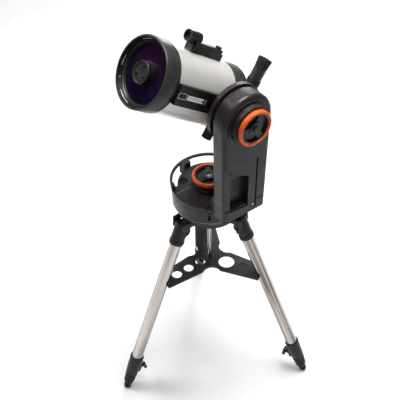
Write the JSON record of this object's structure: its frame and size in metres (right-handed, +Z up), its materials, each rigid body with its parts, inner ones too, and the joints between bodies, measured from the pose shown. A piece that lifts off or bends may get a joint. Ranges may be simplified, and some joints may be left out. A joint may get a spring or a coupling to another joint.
{
  "type": "schmidt-cassegrain telescope",
  "caption": "Compact catadioptric telescope on a single-arm motorised mount with orange clutch rings, standing on a steel tripod with an eyepiece tray.",
  "frame": {"origin": "on the floor, under the azimuth axis", "axes": "+Z up along the azimuth axis, +X towards the fork arm, the optical tube points to -Y and up"},
  "size_m": [0.6506, 0.5834, 1.3079],
  "materials": {
    "cast_black": "satin black paint on cast metal",
    "plastic_black": "moulded black plastic",
    "steel_tube": "polished stainless steel tube",
    "rubber": "black rubber",
    "arm_plastic": "dark warm grey moulded shell, satin",
    "orange_grip": "orange grip ring",
    "gear_brass": "bronze worm wheel",
    "steel_part": "machined steel",
    "cell_black": "satin black painted aluminium",
    "bar_black": "black anodised aluminium",
    "tube_silver": "satin silver-white paint on aluminium",
    "corrector_glass": "coated optical glass with a violet reflection",
    "mirror": "aluminised glass mirror"
  },
  "bodies": {
    "tripod": {"tripod_head": "cast_black", "head_bolts": "plastic_black", "leg_socket_a": "cast_black", "leg_socket_b": "cast_black", "leg_socket_c": "cast_black", "leg_tube_a": "steel_tube", "leg_tube_b": "steel_tube", "leg_tube_c": "steel_tube", "leg_clamp_a": "cast_black", "leg_clamp_b": "cast_black", "leg_clamp_c": "cast_black", "centre_rod": "steel_tube", "base_plate": "cast_black", "azimuth_spindle": "steel_part", "azimuth_wheel": "gear_brass"},
    "tray": {"spreader_tray": "cast_black"},
    "tray_screw": {"tray_knob": "plastic_black"},
    "turntable": {"base_drum": "arm_plastic", "carry_handle": "arm_plastic", "arm_inner": "arm_plastic", "arm_outer": "arm_plastic"},
    "azimuth_worm_shaft": {"azimuth_worm": "steel_part"},
    "altitude_worm_shaft": {"altitude_worm": "steel_part"},
    "azimuth_clutch": {"azimuth_knob": "plastic_black", "azimuth_ring": "orange_grip"},
    "altitude_group": {"altitude_hub": "arm_plastic", "altitude_wheel": "gear_brass", "saddle": "bar_black"},
    "altitude_clutch": {"altitude_knob": "plastic_black", "altitude_ring": "orange_grip"},
    "saddle_screw": {"saddle_knob": "plastic_black"},
    "optical_tube": {"dovetail_bar": "bar_black", "tube_shell": "tube_silver", "front_cell": "cell_black", "corrector_plate": "corrector_glass", "secondary_housing": "cell_black", "secondary_mirror": "mirror", "collimation_screws": "steel_part", "rear_cell": "cell_black", "baffle_tube": "cell_black", "visual_back": "cell_black", "finder_bracket": "plastic_black"},
    "mirror_carrier": {"primary_mirror": "mirror"},
    "focuser": {"focus_knob": "plastic_black"},
    "star_diagonal": {"diagonal": "plastic_black"},
    "ocular": {"eyepiece": "cell_black", "eyecup": "rubber"},
    "finder": {"finder_body": "plastic_black", "finder_lens": "corrector_glass"},
    "finder_screw": {"finder_knob": "plastic_black"},
    "button": {"power_button": "plastic_black"},
    "leg_extension_a": {"leg_inner_a": "steel_tube", "leg_foot_a": "rubber"},
    "leg_lock_a": {"leg_knob_a": "plastic_black"},
    "leg_extension_b": {"leg_inner_b": "steel_tube", "leg_foot_b": "rubber"},
    "leg_lock_b": {"leg_knob_b": "plastic_black"},
    "leg_extension_c": {"leg_inner_c": "steel_tube", "leg_foot_c": "rubber"},
    "leg_lock_c": {"leg_knob_c": "plastic_black"}
  },
  "joints": [
    {"name": "azimuth", "type": "hinge", "parent": "tripod", "child": "turntable", "pos_m": [0, 0, 0.71], "axis": [0, 0, 1], "continuous": true},
    {"name": "azimuth_worm_turn", "type": "hinge", "parent": "turntable", "child": "azimuth_worm_shaft", "pos_m": [-0.0647, 0, 0.7265], "axis": [0, 1, 0], "continuous": true},
    {"name": "azimuth_clutch_turn", "type": "hinge", "parent": "turntable", "child": "azimuth_clutch", "pos_m": [0, 0, 0.793], "axis": [0, 0, 1], "range_deg": [0, 180]},
    {"name": "altitude", "type": "hinge", "parent": "turntable", "child": "altitude_group", "pos_m": [0.11, 0, 1.094], "axis": [1, 0, 0], "range_deg": [-50, 55]},
    {"name": "altitude_worm_turn", "type": "hinge", "parent": "turntable", "child": "altitude_worm_shaft", "pos_m": [0.1335, 0, 1.0293], "axis": [0, 1, 0], "range_deg": [-3600, 3600]},
    {"name": "altitude_clutch_turn", "type": "hinge", "parent": "altitude_group", "child": "altitude_clutch", "pos_m": [0.1866, 0, 1.094], "axis": [1, 0, 0], "range_deg": [0, 180]},
    {"name": "dovetail_slide", "type": "slide", "parent": "altitude_group", "child": "optical_tube", "axis": [0, -0.8192, 0.5736], "range_m": [-0.012, 0.03]},
    {"name": "saddle_knob_turn", "type": "hinge", "parent": "altitude_group", "child": "saddle_screw", "pos_m": [0.089, -0.05571, 1.05976], "axis": [0, -0.5736, -0.8192], "range_deg": [0, 720]},
    {"name": "mirror_travel", "type": "slide", "parent": "optical_tube", "child": "mirror_carrier", "axis": [0, -0.8192, 0.5736], "range_m": [-0.0075, 0.0075]},
    {"name": "focus_turn", "type": "hinge", "parent": "optical_tube", "child": "focuser", "pos_m": [0, 0.07363, 0.98995], "axis": [0, -0.8192, 0.5736], "range_deg": [-3600, 3600]},
    {"name": "diagonal_turn", "type": "hinge", "parent": "optical_tube", "child": "star_diagonal", "pos_m": [0, 0.11673, 1.01226], "axis": [0, -0.8192, 0.5736], "range_deg": [-30, 60]},
    {"name": "eyepiece_slide", "type": "slide", "parent": "star_diagonal", "child": "ocular", "axis": [0, 0.5736, 0.8192], "range_m": [0, 0.022]},
    {"name": "finder_tilt", "type": "hinge", "parent": "optical_tube", "child": "finder", "pos_m": [0, -0.04749, 1.24933], "axis": [1, 0, 0], "range_deg": [0, 1.25]},
    {"name": "finder_knob_turn", "type": "hinge", "parent": "finder", "child": "finder_screw", "pos_m": [0, 0.03328, 1.21475], "axis": [0, 0.5736, 0.8192], "range_deg": [0, 452]},
    {"name": "power_button_press", "type": "slide", "parent": "turntable", "child": "button", "axis": [-1, 0, 0], "range_m": [0, 0.002], "stiffness_N_per_m": 800, "springref_m": -0.001},
    {"name": "tray_lower", "type": "slide", "parent": "tripod", "child": "tray", "axis": [0, 0, -1], "range_m": [0, 0.012]},
    {"name": "tray_knob_turn", "type": "hinge", "parent": "tray", "child": "tray_screw", "pos_m": [0, 0, 0.431], "axis": [0, 0, -1], "range_deg": [0, 2165]},
    {"name": "leg_extend_a", "type": "slide", "parent": "tripod", "child": "leg_extension_a", "axis": [-0.3244, 0.1873, -0.9272], "range_m": [0, 0.4]},
    {"name": "leg_lock_turn_a", "type": "hinge", "parent": "tripod", "child": "leg_lock_a", "pos_m": [-0.2537, 0.14647, 0.07402], "axis": [0.803, -0.4636, -0.3746], "range_deg": [0, 540]},
    {"name": "leg_extend_b", "type": "slide", "parent": "tripod", "child": "leg_extension_b", "axis": [0, -0.3746, -0.9272], "range_m": [0, 0.4]},
    {"name": "leg_lock_turn_b", "type": "hinge", "parent": "tripod", "child": "leg_lock_b", "pos_m": [0, -0.29295, 0.07402], "axis": [0, 0.9272, -0.3746], "range_deg": [0, 540]},
    {"name": "leg_extend_c", "type": "slide", "parent": "tripod", "child": "leg_extension_c", "axis": [0.3244, 0.1873, -0.9272], "range_m": [0, 0.4]},
    {"name": "leg_lock_turn_c", "type": "hinge", "parent": "tripod", "child": "leg_lock_c", "pos_m": [0.2537, 0.14647, 0.07402], "axis": [-0.803, -0.4636, -0.3746], "range_deg": [0, 540]}
  ],
  "couplings": [
    {"joint": "azimuth_worm_turn", "follows": "azimuth", "ratio": 60},
    {"joint": "altitude_worm_turn", "follows": "altitude", "ratio": 60},
    {"joint": "focus_turn", "follows": "mirror_travel", "rad_per_m": 8377.5},
    {"joint": "finder_knob_turn", "follows": "finder_tilt", "ratio": 360},
    {"joint": "tray_knob_turn", "follows": "tray_lower", "rad_per_m": 3141.5}
  ]
}
